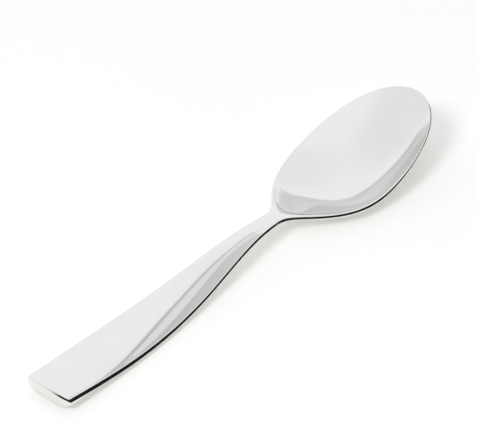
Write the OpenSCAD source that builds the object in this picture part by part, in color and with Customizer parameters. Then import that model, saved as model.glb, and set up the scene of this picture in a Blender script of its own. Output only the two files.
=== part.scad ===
// Tablespoon of polished stainless steel, forged in one piece.
// It is drawn as three zones of the one forging, which meet face to face on flat sections.
// The handle end points to -X, the tip of the bowl to +X, and z = 0 is the table it lies on.

/* [Plan] */
// Overall length, from the handle end to the tip of the bowl
length = 201; // [190:1:215]
// Width of the top face at the handle end
end_w = 18.3; // [15:0.1:22]
// Widest part of the handle
grip_w = 20; // [17:0.2:23]
// Width of the handle halfway between the grip and the neck
mid_w = 15.2; // [12:0.2:17]
// Width that the handle tapers to at the neck
neck_w = 6.6; // [5:0.1:8]
// Widest part of the bowl
bowl_w = 43; // [36:0.5:48]
// From the widest part of the bowl forward to its tip
tip_l = 40; // [35:0.5:45]
// From the widest part of the bowl back to its heel
heel_l = 42; // [37:0.5:47]
// Reach of the fillet between the neck and the bowl
heel_fillet = 7; // [4:0.5:9]
// Depth of the rounded cut at the handle end
end_round = 1; // [0.5:0.25:3]

/* [Side profile] */
// Height of the top edge above the table at the handle end
end_z = 5.4; // [4.6:0.1:6]
// Height of the top edge where the grip lies lowest
grip_z = 2.65; // [2.35:0.05:3.6]
// Height of the top edge halfway along the handle
mid_z = 4.7; // [4.3:0.1:6]
// Height of the top edge at the neck
neck_z = 8.85; // [8.25:0.1:10.55]
// Height of the rim at the heel of the bowl
heel_z = 7.45; // [6.95:0.1:8.55]
// Height of the rim at its lowest
rim_z = 5.75; // [5.15:0.1:7.05]
// Height of the rim at the shoulder, past the widest part
shoulder_z = 10.65; // [9.85:0.1:11.85]
// Height of the rim at the tip
tip_z = 20.2; // [18:0.1:22]
// Height of the underside at the neck
neck_under = 5.7; // [5:0.1:6]

/* [Section] */
// Rise of the top face above its edges at the handle end
end_crown = 0.3; // [0.2:0.05:0.6]
// Rise of the top face above its edges at the widest part of the handle
grip_crown = 0.6; // [0.4:0.05:0.9]
// Rise of the top face above its edges halfway between the grip and the neck
mid_crown = 0.85; // [0.6:0.05:1.1]
// Rise of the top face above its edges where the handle runs into the neck
shank_crown = 0.6; // [0.4:0.05:0.8]
// Rise of the top face above its edges at the neck
neck_crown = 0.15; // [0.1:0.05:0.3]
// Height of the edge at the handle end
end_edge = 2; // [1.7:0.1:2.6]
// How much further down the edge reaches at the very end of the handle
end_drop = 0.5; // [0.2:0.1:1]
// Height of the edge at the widest part of the handle
grip_edge = 2; // [1.7:0.1:2.2]
// Height of the edge halfway between the grip and the neck
mid_edge = 1.3; // [1.1:0.1:1.6]
// Height of the edge at the neck
neck_edge = 1.45; // [1.2:0.05:1.8]
// Height of the edge along the sides of the bowl
bowl_edge = 1.9; // [1.6:0.1:2.3]
// Height of the edge at the shoulder of the bowl, past the widest part
shoulder_edge = 1.2; // [1:0.1:1.5]
// Height of the edge at the tip of the bowl
tip_edge = 0.8; // [0.6:0.1:1.1]
// Height of the bevel across the handle end
end_bevel = 0.8; // [0.5:0.1:1.2]
// Width of the land around the hollow at the heel of the bowl
heel_land = 1.4; // [1:0.1:1.8]
// Width of the land around the hollow along the sides of the bowl
rim_land = 0.4; // [0.2:0.1:0.8]
// Thickness of the floor of the bowl
wall = 1.4; // [1:0.1:2]
// Width of the flat land under the grip
land_w = 6; // [4:0.5:9]
// Length of the flat land under the grip
land_l = 40; // [25:1:44]

/* [Hidden] */
STEEL = [0.84, 0.85, 0.86];

// Shares of the edge that are bevelled on the handle and on the bowl, and the length between them
HANDLE_BEVEL = 0.68;
BOWL_BEVEL = 0.5;
BEVEL_FADE = 25;
// How far the bevel leans out for its height: on the handle, then on the bowl's sides, at its shoulder,
// in front of that and at its tip
LEAN = 0.55;
BOWL_LEAN = 0.43;
SHOULDER_LEAN = 0.52;
FRONT_LEAN = 0.6;
TIP_LEAN = 1.3;
// Shares of the lean that are left at the corners of the handle end, at the foot of the edge and at the
// foot of the handle end, and the length over which the shape of the end fades
CORNER_LEAN = 0.85;
LEAN_LEFT = 0.1;
END_LEFT = 1;
END_FADE = 15;

// Places along the top face, measured from the handle end
end_lean = LEAN * end_bevel;
top_l = length - end_lean - TIP_LEAN * BOWL_BEVEL * tip_edge;
wide_x = top_l - tip_l;
heel_x = wide_x - heel_l;
grip_x = heel_x * 0.25;
low_x = heel_x * 0.35;
mid_x = heel_x * 0.62;
shank_x = heel_x * 0.8;
neck_x = heel_x * 0.95;
hollow_x = heel_x + 3.8;
hollow_full_x = heel_x + 8.5;
rest_x = wide_x - 6;

// Exponents of the section curves
END_POWER = 3;
BOWL_POWER = 2.2;
TOP_POWER = 2.2;
UNDER = 2.2;
KEEL_POWER = 2.2;
// Vertical thickness at the tip, against the floor's
TIP_T = wall + 0.1;
// Height over which the hollow's rim is rounded, and the lengths over which its land narrows and ends
RIM_SOFT = 0.3;
HEEL_FADE = 16;
RIM_FADE = 45;
MOST_SHARE = 4;
// Length over which the flat land fades into the rounded underside, and the share of it that is left
LAND_FADE = 20;
LAND_LEFT = 0.1;
LAND_MOST = 0.8;

// Steps of the lofts
END_STEPS = 9;
HANDLE_STEPS = 32;
NECK_STEPS = 9;
HEEL_STEPS = 32;
TIP_STEPS = 22;
TOP_STEPS = 14;
LAND_STEPS = 2;
UNDER_STEPS = 8;
POLE = 2;

function mix(a, b, t) = a + (b - a) * t;
function clip(t) = max(0, min(1, t));
function ease(t) = let (u = clip(t)) u * u * u * (u * (6 * u - 15) + 10);
function smooth_max(a, b, k) =
    let (h = max(0, k - abs(a - b)) / k)
    max(a, b) + h * h * h * k / 6;

// Natural cubic spline: the forward and backward sweeps, then the value at x
function sweep(h, s, i = 1, rows = [[0, 0]]) =
    i == len(h) ? rows :
    let (den = 2 * (h[i - 1] + h[i]) - h[i - 1] * rows[i - 1][0])
    let (row = [h[i] / den, (6 * (s[i] - s[i - 1]) - h[i - 1] * rows[i - 1][1]) / den])
    sweep(h, s, i + 1, concat(rows, [row]));
function unsweep(rows, i, m) =
    i == 0 ? concat([0], m) :
    unsweep(rows, i - 1, concat([rows[i][1] - rows[i][0] * m[0]], m));
function bends(p) =
    let (h = [for (i = [1:len(p) - 1]) p[i].x - p[i - 1].x])
    let (s = [for (i = [1:len(p) - 1]) (p[i].y - p[i - 1].y) / h[i - 1]])
    unsweep(sweep(h, s), len(h) - 1, [0]);
function spline(p, m, x) =
    let (i = len([for (k = [1:len(p) - 2]) if (p[k].x <= x) k]))
    let (h = p[i + 1].x - p[i].x)
    let (a = (p[i + 1].x - x) / h)
    let (b = 1 - a)
    a * p[i].y + b * p[i + 1].y
    + ((a * a * a - a) * m[i] + (b * b * b - b) * m[i + 1]) * h * h / 6;

// Half width of the top face, before and after the handle end is rounded
TAPER = [[0, end_w / 2], [grip_x, grip_w / 2], [mid_x, mid_w / 2],
         [neck_x, neck_w / 2], [wide_x - 10, neck_w / 2]];
TAPER_BENDS = bends(TAPER);
function bowl_half(x) =
    x < wide_x
    ? bowl_w / 2 * (1 - pow((wide_x - x) / heel_l, BOWL_POWER))
    : bowl_w / 2 * sqrt(1 - pow(clip((x - wide_x) / tip_l), BOWL_POWER));
function full_half(x) =
    x > wide_x - 10
    ? bowl_half(x)
    : smooth_max(spline(TAPER, TAPER_BENDS, x), bowl_half(x), heel_fillet);
function end_cut(x) = pow(1 - pow(clip(1 - x / end_round), END_POWER), 1 / END_POWER);
function half_w(x) = end_cut(x) * full_half(x);
function end_part(x) = 1 - ease(x / END_FADE);

// Height of the top edge
EDGE_Z = [[0, end_z], [low_x, grip_z], [mid_x, mid_z], [heel_x * 0.91, neck_z],
          [heel_x + 6, heel_z], [wide_x - 18, rim_z], [wide_x + 9, shoulder_z], [top_l, tip_z]];
EDGE_BENDS = bends(EDGE_Z);
function edge_z(x) = spline(EDGE_Z, EDGE_BENDS, x);

// Rise of the top face along the middle
CROWN = [[0, end_crown], [grip_x, grip_crown], [mid_x, mid_crown], [shank_x, shank_crown],
         [neck_x, neck_crown], [heel_x + 6, 0], [top_l, 0]];
CROWN_BENDS = bends(CROWN);
function crown_h(x) = spline(CROWN, CROWN_BENDS, x);

// Height of the edge face
EDGE_H = [[0, end_edge], [grip_x, grip_edge], [mid_x, mid_edge], [neck_x, neck_edge],
          [wide_x - 8, bowl_edge], [wide_x + 9, shoulder_edge], [top_l, tip_edge]];
EDGE_H_BENDS = bends(EDGE_H);
function edge_h(x) = spline(EDGE_H, EDGE_H_BENDS, x);
function bevel_h(x) = edge_h(x) * mix(HANDLE_BEVEL, BOWL_BEVEL, ease((x - neck_x) / BEVEL_FADE));

// How far the bevel leans out for its height
LEANS = [[0, LEAN], [mid_x, LEAN], [neck_x - 3, LEAN], [wide_x - 28, BOWL_LEAN],
         [wide_x + 3, SHOULDER_LEAN], [wide_x + 20, FRONT_LEAN], [top_l, TIP_LEAN]];
LEANS_BENDS = bends(LEANS);
function lean(x) = spline(LEANS, LEANS_BENDS, x);

// Height of the underside along the middle: flat land, rise to the neck, bowl, tip
function keel_z(x) =
    x < neck_x
    ? neck_under * ease((x - land_l) / (neck_x - land_l))
    : x < rest_x
    ? neck_under * (1 - ease((x - neck_x) / (rest_x - neck_x)))
    : (tip_z - TIP_T) * pow((x - rest_x) / (top_l - rest_x), KEEL_POWER);
function floor_z(x) = keel_z(x) + mix(wall, TIP_T, clip((x - rest_x) / (top_l - rest_x)));

// How far the top face is sunk in the bowl, which closes in a round end short of the heel
function land_w_at(x) =
    mix(heel_land, rim_land, ease((x - heel_x - 6) / HEEL_FADE)) * (1 - ease((x - wide_x + 10) / RIM_FADE));
function hollow(x, y) =
    let (end = max(0, (hollow_full_x - x) / (hollow_full_x - hollow_x)))
    let (half = full_half(x) - land_w_at(x))
    let (depth = edge_z(x) + crown_h(x) - floor_z(x))
    smooth_max(depth * (1 - end * end - pow(min(y / half, MOST_SHARE), TOP_POWER)), 0, RIM_SOFT);

// Heights of the top face and of the underside at a distance from the middle
function top_at(x, y) =
    edge_z(x) + crown_h(x) * (1 - pow(y / full_half(x), TOP_POWER)) - hollow(x, y);
function land_share(x) =
    mix(min(land_w / 2 / full_half(x), 0.6), LAND_LEFT, ease((x - land_l) / LAND_FADE));
function under_at(x, y) =
    let (land = land_share(x))
    let (turn = max(0, y / full_half(x) - land) / (1 - land))
    mix(keel_z(x), edge_z(x) - edge_h(x) - end_drop * end_part(x), pow(min(turn, 1), UNDER));

// A station is its place along the top face and the way in which its edge leans out
function unit(v) = v / norm(v);
function end_stations() = [for (i = [0:END_STEPS - 1])
    let (a = mix(POLE, 90, i / END_STEPS))
    let (p = 2 - 2 / END_POWER)
    concat(end_round * (1 - pow(cos(a), 2 / END_POWER)),
           unit([-end_w / 2 * pow(cos(a), p), end_round * pow(sin(a), p)]))];
function slope(x) = (half_w(x + 0.05) - half_w(x - 0.05)) / 0.1;
function span(from, to, steps) = [for (i = [0:steps])
    let (x = mix(from, to, i / steps))
    [x, 0, norm([1, slope(x)])]];
function tip_stations() = [for (i = [1:TIP_STEPS])
    let (a = mix(90, POLE, i / TIP_STEPS))
    let (p = 2 / BOWL_POWER)
    concat(wide_x + tip_l * pow(cos(a), p),
           unit([bowl_w / 2 * cos(a), tip_l * p * pow(cos(a), p - 1) * sin(a)]))];

// The section at a station: top face, right edge, underside and left edge
function ring(s) =
    let (x = s[0])
    let (w = half_w(x))
    let (top = top_at(x, w))
    let (bevel = x < end_round ? mix(end_bevel, bevel_h(x), s[2] * s[2]) : bevel_h(x))
    let (corner = x < end_round ? mix(1, CORNER_LEAN, pow(2 * s[1] * s[2], 2)) : 1)
    let (side = lean(x) * bevel * corner * [s[1], s[2]])
    let (foot = mix(LEAN_LEFT, END_LEFT, end_part(x)) * side)
    let (flat = min(LAND_MOST, land_share(x) * full_half(x) / w))
    concat(
        [for (i = [-TOP_STEPS:TOP_STEPS])
            let (y = w * sin(90 * i / TOP_STEPS))
            [x, y, top_at(x, abs(y))]],
        [[x + side.x, w + side.y, top - bevel]],
        [for (i = [LAND_STEPS + UNDER_STEPS:-1:-LAND_STEPS - UNDER_STEPS])
            let (turn = sin(90 * max(0, abs(i) - LAND_STEPS) / UNDER_STEPS))
            let (t = flat * min(1, abs(i) / LAND_STEPS) + (1 - flat) * turn)
            [x + foot.x, sign(i) * t * (w + foot.y), under_at(x, t * w)]],
        [[x + side.x, -w - side.y, top - bevel]]);

// The point about which a section is closed, at the place along the spoon that is given
function pole(points, x) =
    let (z = [for (p = points) p.z])
    [x, 0, (min(z) + max(z)) / 2];

// A solid through a row of sections, closed at both ends by a fan about a pole
module loft(stations) {
    rings = [for (s = stations) ring(s)];
    n = len(rings[0]);
    last = len(rings) - 1;
    first_pole = n * len(rings);
    poles = [pole(rings[0], min([for (p = rings[0]) p.x])),
             pole(rings[last], max([for (p = rings[last]) p.x]))];
    points = concat([for (r = rings) each r], poles);
    faces = concat(
        [for (i = [0:last - 1], j = [0:n - 1])
            let (a = i * n + j, b = i * n + (j + 1) % n)
            each [[a, b, b + n], [a, b + n, a + n]]],
        [for (j = [0:n - 1]) [first_pole, (j + 1) % n, j]],
        [for (j = [0:n - 1]) [first_pole + 1, last * n + j, last * n + (j + 1) % n]]);
    translate([end_lean - length / 2, 0, 0]) polyhedron(points, faces);
}

module handle() {
    color(STEEL) loft(concat(end_stations(), span(end_round, shank_x, HANDLE_STEPS)));
}

module neck() {
    color(STEEL) loft(span(shank_x, heel_x, NECK_STEPS));
}

module bowl() {
    color(STEEL) loft(concat(span(heel_x, wide_x, HEEL_STEPS), tip_stations()));
}

bowl();
neck();
handle();
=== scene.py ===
import math

import bmesh
import bpy
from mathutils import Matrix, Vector


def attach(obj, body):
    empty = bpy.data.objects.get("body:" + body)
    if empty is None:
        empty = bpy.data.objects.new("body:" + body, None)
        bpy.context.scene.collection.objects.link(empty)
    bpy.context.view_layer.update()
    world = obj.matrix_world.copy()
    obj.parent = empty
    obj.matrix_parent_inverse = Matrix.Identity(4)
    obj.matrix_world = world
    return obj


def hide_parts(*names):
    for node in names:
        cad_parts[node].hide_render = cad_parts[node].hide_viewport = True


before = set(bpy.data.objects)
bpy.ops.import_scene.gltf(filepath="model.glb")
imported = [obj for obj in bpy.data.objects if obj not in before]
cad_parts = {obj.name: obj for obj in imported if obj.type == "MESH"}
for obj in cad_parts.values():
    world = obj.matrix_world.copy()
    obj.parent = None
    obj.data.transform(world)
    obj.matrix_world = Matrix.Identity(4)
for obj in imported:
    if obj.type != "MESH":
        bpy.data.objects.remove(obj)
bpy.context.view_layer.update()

MM = 0.001

# Plan of the spoon, in millimetres
LENGTH = 201.0
END_W = 18.3
GRIP_W = 20.0
MID_W = 15.2
NECK_W = 6.6
BOWL_W = 43.0
TIP_L = 40.0
HEEL_L = 42.0
HEEL_FILLET = 7.0
END_ROUND = 1.0

# Height of the top edge from the handle end to the tip of the bowl, and of the underside at the neck
END_Z = 5.4
GRIP_Z = 2.65
MID_Z = 4.7
NECK_Z = 8.85
HEEL_Z = 7.45
RIM_Z = 5.75
SHOULDER_Z = 10.65
TIP_Z = 20.2
NECK_UNDER = 5.7

# Rise of the top face above its edges
END_CROWN = 0.3
GRIP_CROWN = 0.6
MID_CROWN = 0.85
SHANK_CROWN = 0.6
NECK_CROWN = 0.15

# Height of the edge, and how much further down it reaches at the very end of the handle
END_EDGE = 2.0
GRIP_EDGE = 2.0
MID_EDGE = 1.3
NECK_EDGE = 1.45
BOWL_EDGE = 1.9
SHOULDER_EDGE = 1.2
TIP_EDGE = 0.8
END_DROP = 0.5

# Height of the bevel across the end, its shares of the edge on the handle and bowl, and the length between
END_BEVEL = 0.8
HANDLE_BEVEL = 0.68
BOWL_BEVEL = 0.5
BEVEL_FADE = 25.0

# How far the bevel leans out for its height, from the handle to the tip of the bowl
LEAN = 0.55
BOWL_LEAN = 0.43
SHOULDER_LEAN = 0.52
FRONT_LEAN = 0.6
TIP_LEAN = 1.3

# Shares of the lean left at the end's corners, at the foot and at the end's foot, and the length of the end
CORNER_LEAN = 0.85
LEAN_LEFT = 0.1
END_LEFT = 1.0
END_FADE = 15.0

# The bowl: its floor, its thickness at the tip, the land around its hollow and the lengths it narrows over
WALL = 1.4
TIP_T = WALL + 0.1
HEEL_LAND = 1.4
RIM_LAND = 0.4
HEEL_FADE = 16.0
RIM_FADE = 45.0

# Height over which the hollow's rim is rounded, and the share of its half width that its curve stops at
RIM_SOFT = 0.3
MOST_SHARE = 4.0

# The flat land under the grip, the most that it takes of the width, and how it fades along the handle
LAND_W = 6.0
LAND_L = 40.0
LAND_MOST = 0.6
LAND_FADE = 20.0
LAND_LEFT = 0.1

# Places along the top face, from the handle end
END_LEAN = LEAN * END_BEVEL
TOP_L = LENGTH - END_LEAN - TIP_LEAN * BOWL_BEVEL * TIP_EDGE
WIDE_X = TOP_L - TIP_L
HEEL_X = WIDE_X - HEEL_L
GRIP_X = HEEL_X * 0.25
LOW_X = HEEL_X * 0.35
MID_X = HEEL_X * 0.62
SHANK_X = HEEL_X * 0.8
HIGH_X = HEEL_X * 0.91
NECK_X = HEEL_X * 0.95
NECK_LEAN_X = NECK_X - 3
HOLLOW_X = HEEL_X + 3.8
HEEL_RIM_X = HEEL_X + 6
HOLLOW_FULL_X = HEEL_X + 8.5
BOWL_LEAN_X = WIDE_X - 28
RIM_X = WIDE_X - 18
TAPER_X = WIDE_X - 10
SIDE_X = WIDE_X - 8
REST_X = WIDE_X - 6
SHOULDER_LEAN_X = WIDE_X + 3
SHOULDER_X = WIDE_X + 9
FRONT_X = WIDE_X + 20

# Where the top face starts in the shared frame
START_X = END_LEAN - LENGTH / 2

# Exponents of the curves of the outline and of the sections
END_POWER = 3.0
BOWL_POWER = 2.2
TOP_POWER = 2.2
UNDER_POWER = 2.2
KEEL_POWER = 2.2

# Roundings of the top edge on the handle and on the bowl, the length between them, and the foot's rounding
BROW_ROUND = 0.2
RIM_ROUND = 0.45
ROUND_FADE = 15.0
FOOT_ROUND = 0.6

# Shares of the bevel where its flat starts and stops, and of the edge below it where the foot turns in
FLAT_START, FLAT_STOP = 0.14, 0.92
FOOT_START = 0.25

# Least half widths of a section and of its underside, and the most of the underside that is flat
LEAST_HALF = 1e-6
LEAST_SOLE = 0.05
FLAT_MOST = 0.98

# Steps of the loft, and the distances at which its points meet and its faces are slivers, in metres
END_STATIONS = 24
SHAFT_STATIONS = 196
TIP_STATIONS = 64
TOP_STEPS = 36
EDGE_STEPS = 8
UNDER_STEPS = 30
MEET = 1e-7
SLIVER = 1e-8

# Polished steel: its tints, its polishing lines, its haze and its roughness
STEEL_DARK = (0.82, 0.815, 0.805, 1)
STEEL_LIGHT = (0.85, 0.845, 0.835, 1)
LINES_ALONG, LINES_ACROSS = 40, 2600
LINES_DETAIL = 2.0
LINES_STRENGTH = 0.05
LINES_DEPTH = 0.00002
HAZE_SCALE = 70.0
HAZE_DETAIL = 3.0
ROUGH_LEAST, ROUGH_HAZE, ROUGH_LINES = 0.035, 0.05, 0.04

# The white table: its size and height in metres, its tints, its faint cloud and its gloss
TABLE_HALF = 4.0
TABLE_Z = -0.00005
TABLE_DARK = (0.93, 0.93, 0.93, 1)
TABLE_LIGHT = (0.95, 0.95, 0.95, 1)
CLOUD_SCALE = 6.0
CLOUD_DETAIL = 2.0
TABLE_ROUGH = 0.8
TABLE_GLOSS = 0.1

# Where the camera stands: turned from the spoon's length, raised above the table, in metres
VIEW_TURN = math.radians(50)
VIEW_RISE = math.radians(37)
VIEW_DISTANCE = 0.9
VIEW_TARGET = Vector((0.0171, 0.0164, 0.0))
VIEW_LENS = 187.8
SENSOR_W = 36.0
NEAREST, FURTHEST = 0.01, 50.0

# Directions as the camera sees them
AWAY = Vector((math.sin(VIEW_TURN), math.cos(VIEW_TURN), 0))
RIGHT = Vector((math.cos(VIEW_TURN), -math.sin(VIEW_TURN), 0))
UP = Vector((0, 0, 1))

# The studio's dark side and the shade it casts: direction from +X and heights in degrees, fade in cosines
DARK_TOWARDS = 259
DARK_FADE = (-0.40, -0.25)
DARK_RISE, DARK_SOFT = 14, 2
DARK_TONE = 0.01
SHADE_RISE, SHADE_SOFT = 35, 8
SHADE_DEPTH = 0.9

# The grey screen behind the spoon in the same units, its tone further right and how much lighter its foot is
SCREEN_TOWARDS = 50
SCREEN_FADE = (0.80, 0.86)
SCREEN_RISE, SCREEN_SOFT = 20, 0.7
SCREEN_TONE = 0.715
RIGHT_TOWARDS = 85
RIGHT_FADE = (0.7, 1.0)
RIGHT_TONE = 0.655
FOOT_LIGHT = 1.11
FOOT_FADE = 10

# Dim patches of the sky: direction, height, cosines at which they start and are full, and depth
BACK_DIM = (130, 48, 0.5, 0.95, 0.10)
SIDE_DIM = (-5, 43, 0.8, 1.0, 0.07)

# What is left of light that the spoon mirrors twice, from low and from high in the sky
TWICE_LOW, TWICE_HIGH = 0.82, 0.99
TWICE_FROM, TWICE_TO = 54, 64

# Ray depths that part the sky mirrored once from twice, and light not yet scattered from scattered
TWICE_DEPTH = 2.5
SCATTER_DEPTH = 0.5

# Least square of a ray's level part, which keeps a ray straight up from dividing by zero
LEAST_LEVEL = 1e-6

# Light of the sky on the table, the part of it that the spoon passes on, and the two lamps
SKY_FILL = 0.73
MIRROR_FILL = 0.5
TOP_FILL = 0.77
TOP_TINT = (1, 0.975, 0.92)
KEY_SIZE = 0.9
KEY_POWER = 21.0
KEY_DISTANCE = 2.5
KEY_LEFT, KEY_NEAR = 0.6, 0.8

# The glowing sheet over the neck, whose painted reflection makes the stripes on the handle, in millimetres:
# its height, its stretch along the spoon and its stations
SHEET_Z = 50.0
SHEET_FROM, SHEET_TO, SHEET_STATIONS = -62.0, 54.0, 116

# Tones the sheet glows with in its line, gap, brink and body, for the painted reflection on the handle, the
# shares of them at its left and right, and its tint
LINE_TONE, GAP_TONE, BRINK_TONE, BODY_TONE = 0.64, 0.86, 0.60, 0.70
LEFT_SHARE, RIGHT_SHARE = 0.88, 1.06
SHARE_FROM, SHARE_FADE = -25, 55
SHEET_TINT = (1, 0.99, 0.99, 1)

# Where the sheet's line and body come in and go out
LINE_FADE = 12
BODY_FROM, BODY_IN = -43, 10
BODY_TO, BODY_OUT = 46, 8

# Across the sheet: the borders of the line, gap, brink and body, and the least widths of gap and body
LINE_SOFT = 0.5
SHARP = 0.3
BRINK_W = 2.2
BODY_SOFT = 14
LEAST_GAP = 0.4
LEAST_BODY = 2.5


def mix(a, b, t):
    return a + (b - a) * t


def clip(t):
    return max(0.0, min(1.0, t))


def ease(t):
    u = clip(t)
    return u * u * u * (u * (6 * u - 15) + 10)


def smooth_max(a, b, k):
    h = max(0.0, k - abs(a - b)) / k
    return max(a, b) + h * h * h * k / 6


def spline(points):
    """A natural cubic spline through the points, as a function of the place along the spoon."""
    gaps = [b[0] - a[0] for a, b in zip(points, points[1:])]
    slopes = [(b[1] - a[1]) / h for a, b, h in zip(points, points[1:], gaps)]
    rows = [(0.0, 0.0)]
    for i in range(1, len(gaps)):
        den = 2 * (gaps[i - 1] + gaps[i]) - gaps[i - 1] * rows[-1][0]
        rows.append((gaps[i] / den, (6 * (slopes[i] - slopes[i - 1]) - gaps[i - 1] * rows[-1][1]) / den))
    bends = [0.0]
    for ratio, part in reversed(rows[1:]):
        bends.insert(0, part - ratio * bends[0])
    bends.insert(0, 0.0)

    def height(x):
        i = sum(1 for p in points[1:-1] if p[0] <= x)
        h = gaps[i]
        a = (points[i + 1][0] - x) / h
        b = 1 - a
        straight = a * points[i][1] + b * points[i + 1][1]
        return straight + ((a**3 - a) * bends[i] + (b**3 - b) * bends[i + 1]) * h * h / 6

    return height


# Curves along the spoon: half width of the handle, height of the top edge, crown, height and lean of the edge
taper = spline([
    (0, END_W / 2), (GRIP_X, GRIP_W / 2), (MID_X, MID_W / 2), (NECK_X, NECK_W / 2), (TAPER_X, NECK_W / 2),
])
edge_z = spline([
    (0, END_Z), (LOW_X, GRIP_Z), (MID_X, MID_Z), (HIGH_X, NECK_Z),
    (HEEL_RIM_X, HEEL_Z), (RIM_X, RIM_Z), (SHOULDER_X, SHOULDER_Z), (TOP_L, TIP_Z),
])
crown_h = spline([
    (0, END_CROWN), (GRIP_X, GRIP_CROWN), (MID_X, MID_CROWN), (SHANK_X, SHANK_CROWN),
    (NECK_X, NECK_CROWN), (HEEL_RIM_X, 0), (TOP_L, 0),
])
edge_h = spline([
    (0, END_EDGE), (GRIP_X, GRIP_EDGE), (MID_X, MID_EDGE), (NECK_X, NECK_EDGE),
    (SIDE_X, BOWL_EDGE), (SHOULDER_X, SHOULDER_EDGE), (TOP_L, TIP_EDGE),
])
lean = spline([
    (0, LEAN), (MID_X, LEAN), (NECK_LEAN_X, LEAN), (BOWL_LEAN_X, BOWL_LEAN),
    (SHOULDER_LEAN_X, SHOULDER_LEAN), (FRONT_X, FRONT_LEAN), (TOP_L, TIP_LEAN),
])

# Curves along the sheet: middle and half width of its line, its brink and the end of its body
line_mid = spline([(-62, 26), (-34, 18), (-26, 19), (-16, 23), (4, 27), (22, 27), (42, 27), (54, 18)])
line_half = spline([(-62, 1.2), (-35, 1.1), (-20, 1.7), (-4, 1.8), (19, 1.2), (54, 1)])
brink = spline([(-62, 26), (-34, 18), (-22, 12), (-10, 13), (4, 17), (20, 17), (54, 14)])
body_end = spline([(-62, 14), (-30, 11), (-18, 5), (3, -3), (26, 3), (54, 15)])


def bowl_half(x):
    if x < WIDE_X:
        return BOWL_W / 2 * (1 - ((WIDE_X - x) / HEEL_L) ** BOWL_POWER)
    return BOWL_W / 2 * math.sqrt(1 - clip((x - WIDE_X) / TIP_L) ** BOWL_POWER)


def full_half(x):
    """Half width of the top face, before the end is rounded."""
    if x > TAPER_X:
        return max(bowl_half(x), LEAST_HALF)
    return smooth_max(taper(x), bowl_half(x), HEEL_FILLET)


def end_cut(x):
    """Share of the width that the rounded end leaves."""
    return (1 - clip(1 - x / END_ROUND) ** END_POWER) ** (1 / END_POWER)


def end_part(x):
    """1 at the handle end, falling to 0 a little way along."""
    return 1 - ease(x / END_FADE)


def keel_z(x):
    """Height of the underside along the middle."""
    if x < NECK_X:
        return NECK_UNDER * ease((x - LAND_L) / (NECK_X - LAND_L))
    if x < REST_X:
        return NECK_UNDER * (1 - ease((x - NECK_X) / (REST_X - NECK_X)))
    return (TIP_Z - TIP_T) * ((x - REST_X) / (TOP_L - REST_X)) ** KEEL_POWER


def floor_z(x):
    return keel_z(x) + mix(WALL, TIP_T, clip((x - REST_X) / (TOP_L - REST_X)))


def rim_land(x):
    """Width of the land around the bowl's hollow: broad at the heel, gone at the tip."""
    broad = mix(HEEL_LAND, RIM_LAND, ease((x - HEEL_RIM_X) / HEEL_FADE))
    return broad * (1 - ease((x - TAPER_X) / RIM_FADE))


def bevel_h(x):
    return edge_h(x) * mix(HANDLE_BEVEL, BOWL_BEVEL, ease((x - NECK_X) / BEVEL_FADE))


def dish(x):
    """Depth of the bowl's hollow, how much of it is left near the heel, and its half width."""
    end = max(0.0, (HOLLOW_FULL_X - x) / (HOLLOW_FULL_X - HOLLOW_X))
    depth = edge_z(x) + crown_h(x) - floor_z(x)
    return depth, 1 - end * end, max(full_half(x) - rim_land(x), LEAST_HALF)


def hollow(x, y):
    """How far the top face lies below the rim in the bowl."""
    depth, left, half = dish(x)
    return smooth_max(depth * (left - min(y / half, MOST_SHARE) ** TOP_POWER), 0.0, RIM_SOFT)


def land_share(x):
    """Share of the underside that is flat."""
    return mix(min(LAND_W / 2 / full_half(x), LAND_MOST), LAND_LEFT, ease((x - LAND_L) / LAND_FADE))


def top_at(x, y):
    share = y / full_half(x)
    return edge_z(x) + crown_h(x) * (1 - share**TOP_POWER) - hollow(x, y)


def under_at(x, y):
    land = land_share(x)
    turn = max(0.0, y / full_half(x) - land) / (1 - land)
    return mix(keel_z(x), edge_z(x) - edge_h(x) - END_DROP * end_part(x), min(1.0, turn) ** UNDER_POWER)


def outline():
    """Stations along the spoon: the place, the half width and the outward direction of the edge."""
    points = []
    for i in range(END_STATIONS):
        a = math.pi / 2 * i / END_STATIONS
        x = END_ROUND * (1 - math.cos(a) ** (2 / END_POWER))
        points.append((x, full_half(x) * end_cut(x)))
    for i in range(SHAFT_STATIONS + 1):
        x = mix(END_ROUND, WIDE_X, i / SHAFT_STATIONS)
        points.append((x, full_half(x)))
    for i in range(1, TIP_STATIONS):
        x = WIDE_X + TIP_L * math.sin(math.pi / 2 * i / TIP_STATIONS) ** (2 / BOWL_POWER)
        points.append((x, bowl_half(x)))
    points.append((TOP_L, 0.0))
    rows = [(*points[0], -1.0, 0.0)]
    for before, here, after in zip(points, points[1:], points[2:]):
        run, rise = after[0] - before[0], after[1] - before[1]
        size = math.hypot(run, rise)
        rows.append((*here, -rise / size, run / size))
    return rows + [(*points[-1], 1.0, 0.0)]


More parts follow.
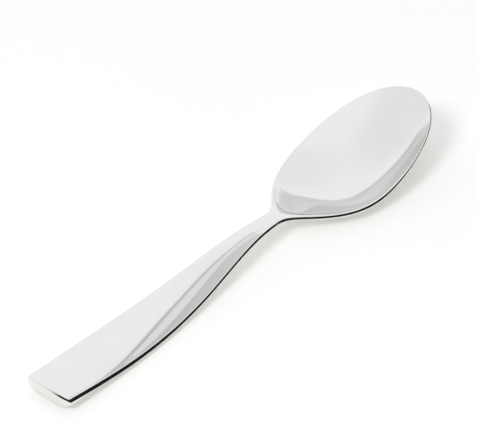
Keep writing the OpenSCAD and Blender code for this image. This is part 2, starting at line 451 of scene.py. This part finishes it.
def station(x, w, out_x, out_y):
    """What the loft needs at one station: points of the section, in metres, and its sizes."""
    top, low = top_at(x, w), under_at(x, w)
    at_end = x < END_ROUND
    bevel = mix(END_BEVEL, bevel_h(x), out_y * out_y) if at_end else bevel_h(x)
    corner = mix(1, CORNER_LEAN, (2 * out_x * out_y) ** 2) if at_end else 1
    side_out = lean(x) * bevel * corner
    foot_out = side_out * mix(LEAN_LEFT, END_LEFT, end_part(x))
    brow = mix(BROW_ROUND, RIM_ROUND, ease((x - HEEL_X) / ROUND_FADE))
    in_x, in_y = x - brow * out_x, max(0.0, w - brow * out_y)
    depth, left, half = dish(in_x)
    under_x, under_y = x - FOOT_ROUND * out_x, max(0.0, w - FOOT_ROUND * out_y)
    flat = min(FLAT_MOST, land_share(under_x) * full_half(under_x) / max(under_y, LEAST_SOLE))

    def beside(out, height):
        return ((x + START_X + out * out_x) * MM, max(0.0, w + out * out_y) * MM, height * MM)

    return {
        "inset": beside(-brow, top_at(in_x, in_y)),
        "plate": (edge_z(in_x) * MM, crown_h(in_x) * MM, full_half(in_x) * MM),
        "dish": (depth * MM, left, half * MM),
        "brow": beside(0, top),
        "side": beside(side_out, top - bevel),
        "foot": beside(foot_out, low),
        "sole": beside(foot_out - FOOT_ROUND, under_at(under_x, under_y)),
        "keel": (flat, keel_z(under_x) * MM, 0.0),
    }


class Graph:
    """Short hands for wiring a node tree."""

    def __init__(self, tree):
        self.tree = tree

    def put(self, socket, value):
        if isinstance(value, bpy.types.NodeSocket):
            self.tree.links.new(value, socket)
        else:
            socket.default_value = value

    def fill(self, node, named):
        for name, value in named.items():
            self.put(node.inputs[name], value)

    def node(self, kind, *values, named=None, **settings):
        """A new node with its settings, its first inputs in their order, and other inputs by name."""
        made = self.tree.nodes.new(kind)
        for name, value in settings.items():
            setattr(made, name, value)
        for socket, value in zip([s for s in made.inputs if s.enabled], values):
            self.put(socket, value)
        self.fill(made, named or {})
        return made

    def math(self, operation, *values):
        return self.node("ShaderNodeMath", *values, operation=operation).outputs[0]

    def plus(self, a, b):
        return self.math("ADD", a, b)

    def less(self, a, b):
        return self.math("SUBTRACT", a, b)

    def times(self, a, b):
        return self.math("MULTIPLY", a, b)

    def over(self, a, b):
        return self.math("DIVIDE", a, b)

    def power(self, a, b):
        return self.math("POWER", a, b)

    def most(self, a, b):
        return self.math("MAXIMUM", a, b)

    def mix(self, a, b, t):
        return self.math("MULTIPLY_ADD", self.less(b, a), t, a)

    def vector(self, x, y, z):
        return self.node("ShaderNodeCombineXYZ", x, y, z).outputs[0]

    def parts(self, vector):
        return tuple(self.node("ShaderNodeSeparateXYZ", vector).outputs)

    def dot(self, a, b):
        return self.node("ShaderNodeVectorMath", a, b, operation="DOT_PRODUCT").outputs["Value"]

    def between(self, a, b, t):
        """The point that lies a share of the way from one point to another."""
        step = self.node("ShaderNodeVectorMath", b, a, operation="SUBTRACT").outputs[0]
        scaled = self.node("ShaderNodeVectorMath", named={"Vector": step, "Scale": t}, operation="SCALE")
        return self.node("ShaderNodeVectorMath", a, scaled.outputs[0], operation="ADD").outputs[0]

    def ramp(self, value, low, high):
        """0 below low, 1 above high, smooth between them."""
        ends = {"Value": value, "From Min": low, "From Max": high}
        return self.node("ShaderNodeMapRange", named=ends, interpolation_type="SMOOTHSTEP").outputs[0]

    def noise(self, place, scale, detail):
        wired = {"Vector": place, "Scale": scale, "Detail": detail}
        return self.node("ShaderNodeTexNoise", named=wired).outputs[0]

    def blend(self, dark, light, share):
        """A colour between two."""
        made = self.node("ShaderNodeMix", named={"Factor": share}, data_type="RGBA")
        colours = [s for s in made.inputs if s.type == "RGBA"]
        for socket, colour in zip(colours, (dark, light)):
            self.put(socket, colour)
        return next(s for s in made.outputs if s.type == "RGBA")


def forging_tree():
    """Lofts the forged skin through the stations: top face, edge and underside of one half, then both."""
    tree = bpy.data.node_groups.new("forged_skin", "GeometryNodeTree")
    graph = Graph(tree)
    sockets = {
        "Geometry": ("Stations",),
        "Int": ("Station count", "Top steps", "Edge steps", "Underside steps"),
        "Float": ("Top power", "Underside power", "Rim softness"),
        "Material": ("Steel",),
    }
    for kind, names in sockets.items():
        for name in names:
            tree.interface.new_socket(name, in_out="INPUT", socket_type="NodeSocket" + kind)
    tree.interface.new_socket("Skin", in_out="OUTPUT", socket_type="NodeSocketGeometry")
    given = tree.nodes.new("NodeGroupInput").outputs

    def strip(steps, place):
        """A grid with a row of points for each station, set in their places across the section."""
        count = graph.plus(steps, 1)
        size = {"Vertices X": given["Station count"], "Vertices Y": count}
        grid = graph.node("GeometryNodeMeshGrid", named=size).outputs["Mesh"]
        index = graph.node("GeometryNodeInputIndex").outputs[0]
        row = graph.math("FLOOR", graph.over(graph.plus(index, 0.5), count))
        across = graph.over(graph.less(index, graph.times(row, count)), steps)

        def at(name):
            stored = graph.node("GeometryNodeInputNamedAttribute", name, data_type="FLOAT_VECTOR").outputs[0]
            wired = {"Geometry": given["Stations"], "Value": stored, "Index": row}
            return graph.node("GeometryNodeSampleIndex", named=wired, data_type="FLOAT_VECTOR").outputs[0]

        moved = {"Geometry": grid, "Position": place(across, at)}
        return graph.node("GeometryNodeSetPosition", named=moved).outputs[0]

    def above_zero(value, soft):
        """The value where it is above zero, rounded off over a short height."""
        near = graph.most(graph.less(soft, graph.math("ABSOLUTE", value)), 0.0)
        bump = graph.power(graph.over(near, soft), 3.0)
        return graph.plus(graph.most(value, 0.0), graph.times(bump, graph.over(soft, 6.0)))

    def top_face(across, at):
        x, half, _ = graph.parts(at("inset"))
        edge, crown, full = graph.parts(at("plate"))
        depth, left, dish_half = graph.parts(at("dish"))
        power = given["Top power"]
        y = graph.times(graph.math("SINE", graph.times(across, math.pi / 2)), half)
        arch = graph.less(1.0, graph.power(graph.over(y, full), power))
        plate = graph.math("MULTIPLY_ADD", crown, arch, edge)
        share = graph.math("MINIMUM", graph.over(y, dish_half), MOST_SHARE)
        sunk = graph.times(depth, graph.less(left, graph.power(share, power)))
        return graph.vector(x, y, graph.less(plate, above_zero(sunk, given["Rim softness"])))

    def underside(across, at):
        x, half, edge = graph.parts(at("sole"))
        land, keel, _ = graph.parts(at("keel"))
        t = graph.less(1.0, across)
        turn = graph.over(graph.most(graph.less(t, land), 0.0), graph.less(1.0, land))
        lift = graph.power(turn, given["Underside power"])
        return graph.vector(x, graph.times(t, half), graph.mix(keel, edge, lift))

    def mark(name):
        return lambda at: at(name)

    def partway(first, second, share):
        return lambda at: graph.between(at(first), at(second), share)

    def straight(start, stop):
        return lambda across, at: graph.between(start(at), stop(at), across)

    def bead(start, corner, stop):
        """A rounding from one point to another, drawn towards the corner between them."""
        def place(across, at):
            a, b, c = start(at), corner(at), stop(at)
            return graph.between(graph.between(a, b, across), graph.between(b, c, across), across)
        return place

    def joined(parts):
        made = tree.nodes.new("GeometryNodeJoinGeometry")
        for part in reversed(parts):
            tree.links.new(part, made.inputs[0])
        return made.outputs[0]

    upper, lower = partway("brow", "side", FLAT_START), partway("brow", "side", FLAT_STOP)
    below = partway("side", "foot", FOOT_START)
    edge_faces = [
        bead(mark("inset"), mark("brow"), upper),
        straight(upper, lower),
        bead(lower, mark("side"), below),
        bead(below, mark("foot"), mark("sole")),
    ]
    strips = [strip(given["Top steps"], top_face)]
    strips += [strip(given["Edge steps"], face) for face in edge_faces]
    strips += [strip(given["Underside steps"], underside)]
    half = joined(strips)
    mirrored = graph.node("GeometryNodeTransform", named={"Geometry": half, "Scale": (1, -1, 1)})
    flipped = graph.node("GeometryNodeFlipFaces", mirrored.outputs[0])
    whole = joined([half, flipped.outputs[0]])
    merged = graph.node("GeometryNodeMergeByDistance", named={"Geometry": whole, "Distance": MEET})
    smooth = graph.node("GeometryNodeSetShadeSmooth", named={"Geometry": merged.outputs[0]})
    real = graph.node("GeometryNodeRealizeInstances", named={"Geometry": smooth.outputs[0]})
    wired = {"Geometry": real.outputs[0], "Material": given["Steel"]}
    dressed = graph.node("GeometryNodeSetMaterial", named=wired)
    graph.put(tree.nodes.new("NodeGroupOutput").inputs["Skin"], dressed.outputs[0])
    return tree


def link(name, data):
    """A new object in the scene."""
    made = bpy.data.objects.new(name, data)
    bpy.context.scene.collection.objects.link(made)
    return made


def close_skin(skin):
    """Joins the points that meet, takes out slivers and turns the faces outwards."""
    body = bmesh.new()
    body.from_mesh(skin)
    bmesh.ops.remove_doubles(body, verts=body.verts, dist=MEET)
    bmesh.ops.dissolve_degenerate(body, edges=body.edges, dist=SLIVER)
    bmesh.ops.recalc_face_normals(body, faces=body.faces)
    body.to_mesh(skin)
    body.free()


def forge(name, steel):
    """The whole spoon as one closed skin."""
    stations = [station(*place) for place in outline()]
    row = bpy.data.meshes.new(name)
    row.from_pydata([(marks["brow"][0], 0.0, 0.0) for marks in stations], [], [])
    for key in stations[0]:
        stored = row.attributes.new(key, "FLOAT_VECTOR", "POINT")
        stored.data.foreach_set("vector", [v for marks in stations for v in marks[key]])
    spoon = link(name, row)
    tree = forging_tree()
    loft = spoon.modifiers.new("forging", "NODES")
    loft.node_group = tree
    given = {
        "Station count": len(stations), "Top steps": TOP_STEPS, "Edge steps": EDGE_STEPS,
        "Underside steps": UNDER_STEPS, "Top power": TOP_POWER, "Underside power": UNDER_POWER,
        "Rim softness": RIM_SOFT * MM, "Steel": steel,
    }
    for item in tree.interface.items_tree:
        if item.name in given:
            loft[item.identifier] = given[item.name]
    skin = bpy.data.meshes.new_from_object(spoon.evaluated_get(bpy.context.evaluated_depsgraph_get()))
    spoon.modifiers.clear()
    spoon.data = skin
    bpy.data.meshes.remove(row)
    skin.name = name
    close_skin(skin)
    return spoon


def material(name):
    made = bpy.data.materials.new(name)
    made.use_nodes = True
    return made, Graph(made.node_tree), made.node_tree.nodes["Principled BSDF"]


def polished_steel():
    """Mirror-polished steel with faint polishing lines along the spoon and a slight haze."""
    made, graph, shader = material("polished_steel")
    place = graph.node("ShaderNodeTexCoord").outputs["Object"]
    drawn = {"Vector": place, "Scale": (LINES_ALONG, LINES_ACROSS, LINES_ACROSS)}
    lines = graph.noise(graph.node("ShaderNodeMapping", named=drawn).outputs[0], 1.0, LINES_DETAIL)
    haze = graph.noise(place, HAZE_SCALE, HAZE_DETAIL)
    rough = graph.math("MULTIPLY_ADD", haze, ROUGH_HAZE, ROUGH_LEAST)
    cut = {"Strength": LINES_STRENGTH, "Distance": LINES_DEPTH, "Height": lines}
    graph.fill(shader, {
        "Base Color": graph.blend(STEEL_DARK, STEEL_LIGHT, haze),
        "Metallic": 1.0,
        "Roughness": graph.math("MULTIPLY_ADD", lines, ROUGH_LINES, rough),
        "Normal": graph.node("ShaderNodeBump", named=cut).outputs[0],
    })
    return made


def white_table():
    """Matt white table top with a faint cloud."""
    made, graph, shader = material("white_table")
    place = graph.node("ShaderNodeTexCoord").outputs["Object"]
    cloud = graph.noise(place, CLOUD_SCALE, CLOUD_DETAIL)
    graph.fill(shader, {
        "Base Color": graph.blend(TABLE_DARK, TABLE_LIGHT, cloud),
        "Roughness": TABLE_ROUGH,
        "Specular IOR Level": TABLE_GLOSS,
    })
    return made


def shade_sheet():
    """A sheet that glows with the tones stored on it, whatever light falls on it, to paint reflections on the
    steel.
    """
    made, graph, shader = material("shade_sheet")
    graph.fill(shader, {
        "Base Color": (0, 0, 0, 1),
        "Roughness": 1.0,
        "Specular IOR Level": 0.0,
        "Emission Color": SHEET_TINT,
        "Emission Strength": graph.node("ShaderNodeAttribute", attribute_name="tone").outputs["Fac"],
    })
    return made


def aim(obj, target, back, distance):
    """Stands an object back from the target and turns it to face the target."""
    obj.location = target + back * distance
    obj.rotation_euler = (-back).to_track_quat("-Z", "Y").to_euler()


def put_camera():
    data = bpy.data.cameras.new("camera")
    data.sensor_fit = "HORIZONTAL"
    data.sensor_width = SENSOR_W
    data.lens = VIEW_LENS
    data.clip_start, data.clip_end = NEAREST, FURTHEST
    camera = link("camera", data)
    aim(camera, VIEW_TARGET, UP * math.sin(VIEW_RISE) - AWAY * math.cos(VIEW_RISE), VIEW_DISTANCE)
    bpy.context.scene.camera = camera


def put_table(finish):
    mesh = bpy.data.meshes.new("table")
    signs = [(-1, -1), (1, -1), (1, 1), (-1, 1)]
    mesh.from_pydata([(x * TABLE_HALF, y * TABLE_HALF, TABLE_Z) for x, y in signs], [], [(0, 1, 2, 3)])
    mesh.materials.append(finish)
    table = link("table", mesh)


def sheet_row(x):
    """Places across the glowing sheet, each with the tone it glows with: line, gap, brink, body and the
    body's soft end.
    """
    high, low = line_mid(x) + line_half(x), line_mid(x) - line_half(x)
    edge = min(brink(x), low - LEAST_GAP)
    stop = min(body_end(x), edge - LEAST_BODY)
    line = ease((x - SHEET_FROM) / LINE_FADE) * ease((SHEET_TO - x) / LINE_FADE)
    body = ease((x - BODY_FROM) / BODY_IN) * ease((BODY_TO - x) / BODY_OUT)
    share = mix(LEFT_SHARE, RIGHT_SHARE, clip((x - SHARE_FROM) / SHARE_FADE))
    on_line, in_gap = mix(1, LINE_TONE * share, line), mix(1, GAP_TONE, body)
    on_brink, on_body = mix(1, BRINK_TONE * share, body), mix(1, BODY_TONE * share, body)
    return [
        (high + LINE_SOFT, 1.0), (high, on_line), (low, on_line),
        (low - SHARP, in_gap), (edge, in_gap), (edge - SHARP, on_brink),
        (edge - BRINK_W, on_body), (stop, on_body), (stop - BODY_SOFT, 1.0),
    ]


def put_shade_sheet(finish):
    """A glowing sheet with a dark line, over the neck, seen only in mirrors: a painted reflection that shows
    as soft stripes on the handle's shoulder.
    """
    places = [mix(SHEET_FROM, SHEET_TO, i / SHEET_STATIONS) for i in range(SHEET_STATIONS + 1)]
    rows = [sheet_row(x) for x in places]
    corners = [(x * MM, y * MM, SHEET_Z * MM) for x, row in zip(places, rows) for y, _ in row]
    n = len(rows[0])
    faces = [
        (i * n + j, i * n + j + 1, i * n + j + n + 1, i * n + j + n)
        for i in range(SHEET_STATIONS) for j in range(n - 1)
    ]
    mesh = bpy.data.meshes.new("shade_sheet")
    mesh.from_pydata(corners, [], faces)
    tones = mesh.attributes.new("tone", "FLOAT", "POINT")
    tones.data.foreach_set("value", [tone for row in rows for _, tone in row])
    mesh.materials.append(finish)
    sheet = link("shade_sheet", mesh)
    # Hidden from all but mirrors, so the sheet shows only as a painted reflection in the steel
    sheet.visible_camera = sheet.visible_diffuse = sheet.visible_shadow = False
    sheet.visible_transmission = sheet.visible_volume_scatter = False


def rise(degrees):
    """Height of a ray of length 1 that climbs by these degrees."""
    return math.sin(math.radians(degrees))


def heading(turn, climb):
    """A ray of length 1 in a direction from +X that climbs, both in degrees."""
    a, e = math.radians(turn), math.radians(climb)
    return math.cos(e) * math.cos(a), math.cos(e) * math.sin(a), math.sin(e)


def hang_sky():
    """A white tent that is dark on the camera's side, with a grey screen low behind the spoon."""
    world = bpy.data.worlds.new("studio")
    bpy.context.scene.world = world
    world.use_nodes = True
    tree = world.node_tree
    tree.nodes.clear()
    graph = Graph(tree)
    ray = graph.node("ShaderNodeTexCoord").outputs["Generated"]
    height = graph.parts(ray)[2]
    level = graph.math("SQRT", graph.most(graph.less(1.0, graph.times(height, height)), LEAST_LEVEL))

    def towards(degrees):
        """1 in the compass direction that is given, -1 in the opposite one."""
        return graph.over(graph.dot(ray, heading(degrees, 0)), level)

    def below(degrees, soft):
        return graph.ramp(height, rise(degrees + soft), rise(degrees - soft))

    def dimmed(turn, climb, low, high, depth):
        """1, less by the depth in a soft patch around a direction of the sky."""
        patch = graph.ramp(graph.dot(ray, heading(turn, climb)), low, high)
        return graph.less(1.0, graph.times(patch, depth))

    front = graph.ramp(towards(DARK_TOWARDS), *DARK_FADE)
    dark = graph.times(front, below(DARK_RISE, DARK_SOFT))
    screen = graph.times(graph.ramp(towards(SCREEN_TOWARDS), *SCREEN_FADE), below(SCREEN_RISE, SCREEN_SOFT))
    grey = graph.mix(SCREEN_TONE, RIGHT_TONE, graph.ramp(towards(RIGHT_TOWARDS), *RIGHT_FADE))
    foot = graph.ramp(height, rise(SCREEN_RISE), rise(SCREEN_RISE - FOOT_FADE))
    tone = graph.times(dimmed(*BACK_DIM), dimmed(*SIDE_DIM))
    tone = graph.mix(tone, graph.times(grey, graph.mix(1.0, FOOT_LIGHT, foot)), screen)
    tone = graph.mix(tone, DARK_TONE, dark)

    path = graph.node("ShaderNodeLightPath").outputs
    again = graph.math("GREATER_THAN", path["Ray Depth"], TWICE_DEPTH)
    twice = graph.mix(TWICE_LOW, TWICE_HIGH, graph.ramp(height, rise(TWICE_FROM), rise(TWICE_TO)))
    tone = graph.times(tone, graph.mix(1.0, twice, again))

    glossy = path["Is Glossy Ray"]
    direct = graph.times(glossy, graph.math("LESS_THAN", path["Diffuse Depth"], SCATTER_DEPTH))
    fill = graph.times(graph.mix(1.0, MIRROR_FILL, glossy), SKY_FILL)
    shade = graph.times(front, below(SHADE_RISE, SHADE_SOFT))
    fill = graph.times(fill, graph.mix(1.0, 1.0 - SHADE_DEPTH, shade))
    seen = graph.mix(graph.mix(fill, tone, direct), 1.0, path["Is Camera Ray"])
    shell = graph.node("ShaderNodeBackground", named={"Color": (1, 1, 1, 1), "Strength": seen})
    graph.put(tree.nodes.new("ShaderNodeOutputWorld").inputs["Surface"], shell.outputs[0])


def put_lamps():
    """A warm fill from above that casts no shadow, and a key light from the left."""
    fill = bpy.data.lights.new("top_fill", "SUN")
    fill.energy = TOP_FILL
    fill.color = TOP_TINT
    fill.use_shadow = False
    key = bpy.data.lights.new("key_light", "AREA")
    key.shape = "DISK"
    key.size = KEY_SIZE
    key.energy = KEY_POWER
    lamps = [link(data.name, data) for data in (fill, key)]
    aim(lamps[1], Vector(), (UP - RIGHT * KEY_LEFT - AWAY * KEY_NEAR).normalized(), KEY_DISTANCE)
    for lamp in lamps:
        lamp.visible_camera = lamp.visible_glossy = False


spoon = forge("spoon", polished_steel())
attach(spoon, "root")
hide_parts("bowl", "neck", "handle")

put_table(white_table())
put_camera()
# The glowing sheet that paints the reflected stripes on the handle's shoulder
put_shade_sheet(shade_sheet())
hang_sky()
put_lamps()
bpy.context.scene.view_settings.view_transform = "Standard"
